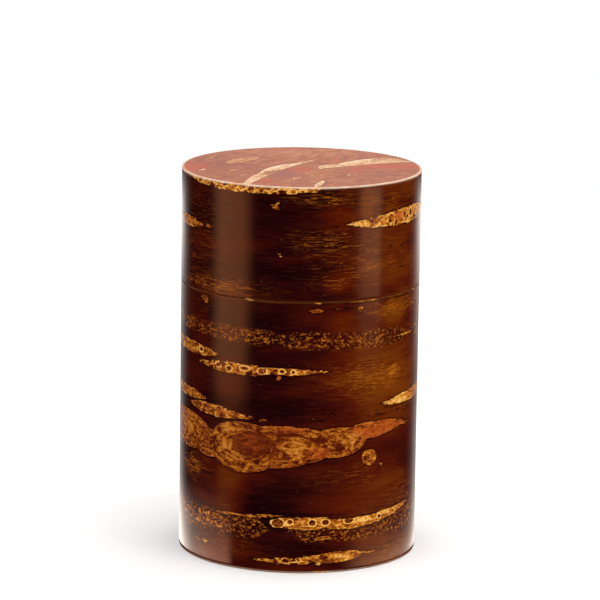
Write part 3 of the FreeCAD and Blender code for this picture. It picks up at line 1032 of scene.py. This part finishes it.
def floor_card(side, warm, near_wall, outwards):
    """A card lying round the foot on one side, -1 or +1. Its rows run out along the lines that the wall
    mirrors from the front. Its glow is a curve over the angle round the wall times one over the distance
    out; near is the glow at the foot, and behind is the one that the wall's far sides mirror."""
    angles = np.arange(18, 91, 2.0)
    away = np.array([0.5, 6, 12, 20, 30, 42, 56, 72, 90, 115, 260, 430, 530, 600, 700])
    angle, out = np.meshgrid(angles, away, indexing="ij")
    wall, mirrored = np.radians(angle), np.radians(2 * angle)
    foot = radius + 0.5
    x = side * (foot * np.sin(wall) + out * np.sin(mirrored))
    y = -foot * np.cos(wall) - out * np.cos(mirrored)
    points = np.stack([x * MM, y * MM, np.full_like(x, card_lift)], axis=-1).reshape(-1, 3)
    rows = len(away)
    corners = [(k, k + 1, k + rows + 1, k + rows) for k in range(len(points) - rows) if (k + 1) % rows]
    made = new_object(f"floor_card_{side}", points.tolist(), corners)
    near = fade(angle, *near_wall) * fade(out, *outwards)
    behind = fade(angle, (64, 0.0), (69, 0.10), (73, 0.45), (78, 1.1))
    behind = behind * fade(out, (60, 0.6), (260, 0.3), (430, 0.6), (530, 1.2), (600, 1.4), (700, 0.0))
    give(made, near=near.ravel(), behind=behind.ravel(), pale=fade(angle, (50, 0.0), (74, 1.0)).ravel())
    g = Graph(made.name)
    tint = g.mix(g.field("pale"), warm, (1.0, 0.90, 0.80))
    lit = g.mix(g.rise(g.field("near"), 0.0, 0.3), (1.0, 0.93, 0.88), tint)
    made.data.materials.append(g.emit(lit, g.add(g.field("near"), g.field("behind"))))
    only_mirrored(made)


floor_card(
    -1, (1.0, 0.86, 0.74), ((32, 0.0), (35.5, 3.8), (50, 3.6), (61, 2.6), (68, 3.4)),
    ((8, 1.0), (14, 0.7), (40, 0.42), (80, 0.0)),
)
floor_card(
    1, (1.0, 0.94, 0.69), ((22, 0.0), (34, 2.6), (60, 1.5), (75, 1.8)),
    ((8, 1.0), (14, 0.52), (40, 0.17), (80, 0.0)),
)
# A ring of rosy cards, above what the walls mirror, gives the lid's top its sheen; one overhead, its rim.
for k in range(6):
    turn = 60 * k - 180
    card(f"card_ring_{k}", (turn, turn + 60), 1.0, 1.0, 0.13, 1.3, (1.0, 0.56, 0.44), 0.72)
card("card_above", (-180, 180), 0.001, 0.45, 1.5, 1.5, (1.0, 0.9, 0.8), 6.0)


def area_light(name, place, wide, tall, power, colour=(1, 1, 1)):
    """A soft light aimed at the caddy, which no reflection shows."""
    lamp = bpy.data.lights.new(name, "AREA")
    lamp.shape = "RECTANGLE"
    lamp.size, lamp.size_y = wide, tall
    lamp.energy = power
    lamp.color = colour
    holder = bpy.data.objects.new(name, lamp)
    holder.location = place
    towards = Vector((0, 0, height / 2 * MM)) - Vector(place)
    holder.rotation_euler = towards.to_track_quat("-Z", "Y").to_euler()
    holder.visible_glossy = False
    lamp.cycles.use_multiple_importance_sampling = False
    bpy.context.scene.collection.objects.link(holder)


area_light("overhead", (0.2, -0.2, 2.2), 2.6, 2.6, 60)
for k, power in enumerate((10, 8, 7, 10)):
    area_light(f"side_{k}", compass(-135 + 90 * k, 1.7, 1.0), 1.6, 1.6, power)
area_light("warm_right", (1.3, -0.9, 0.9), 0.8, 1.0, 5, (1.0, 0.86, 0.7))

# plain white behind; the soft light comes from the lamps, and none of it is mirrored in the polish
g = Graph("studio", bpy.data.worlds)
dim, white = (
    g.node("ShaderNodeBackground", {"Color": (1, 1, 1), "Strength": strength}).outputs[0]
    for strength in (0.05, 1.0)
)
seen = g.node("ShaderNodeLightPath").outputs["Is Camera Ray"]
sky = g.node("ShaderNodeMixShader", {0: seen, 1: dim, 2: white}).outputs[0]
g.node("ShaderNodeOutputWorld", {"Surface": sky})
g.owner.cycles_visibility.glossy = False
bpy.context.scene.world = g.owner

# ---- Camera ----
camera_place = (0, -1.1623, 0.3202)
look_down, roll = math.radians(11.735), math.radians(0.85)
lens = bpy.data.cameras.new("camera")
lens.sensor_width, lens.lens = 36, 225.9
lens.clip_start, lens.clip_end = 0.05, 20
camera = bpy.data.objects.new("camera", lens)
camera.location = camera_place
level = Euler((math.pi / 2 - look_down, 0, 0)).to_quaternion()
camera.rotation_euler = (level @ Euler((0, 0, roll)).to_quaternion()).to_euler()
bpy.context.scene.collection.objects.link(camera)
bpy.context.scene.camera = camera
bpy.context.scene.view_settings.view_transform = "Standard"
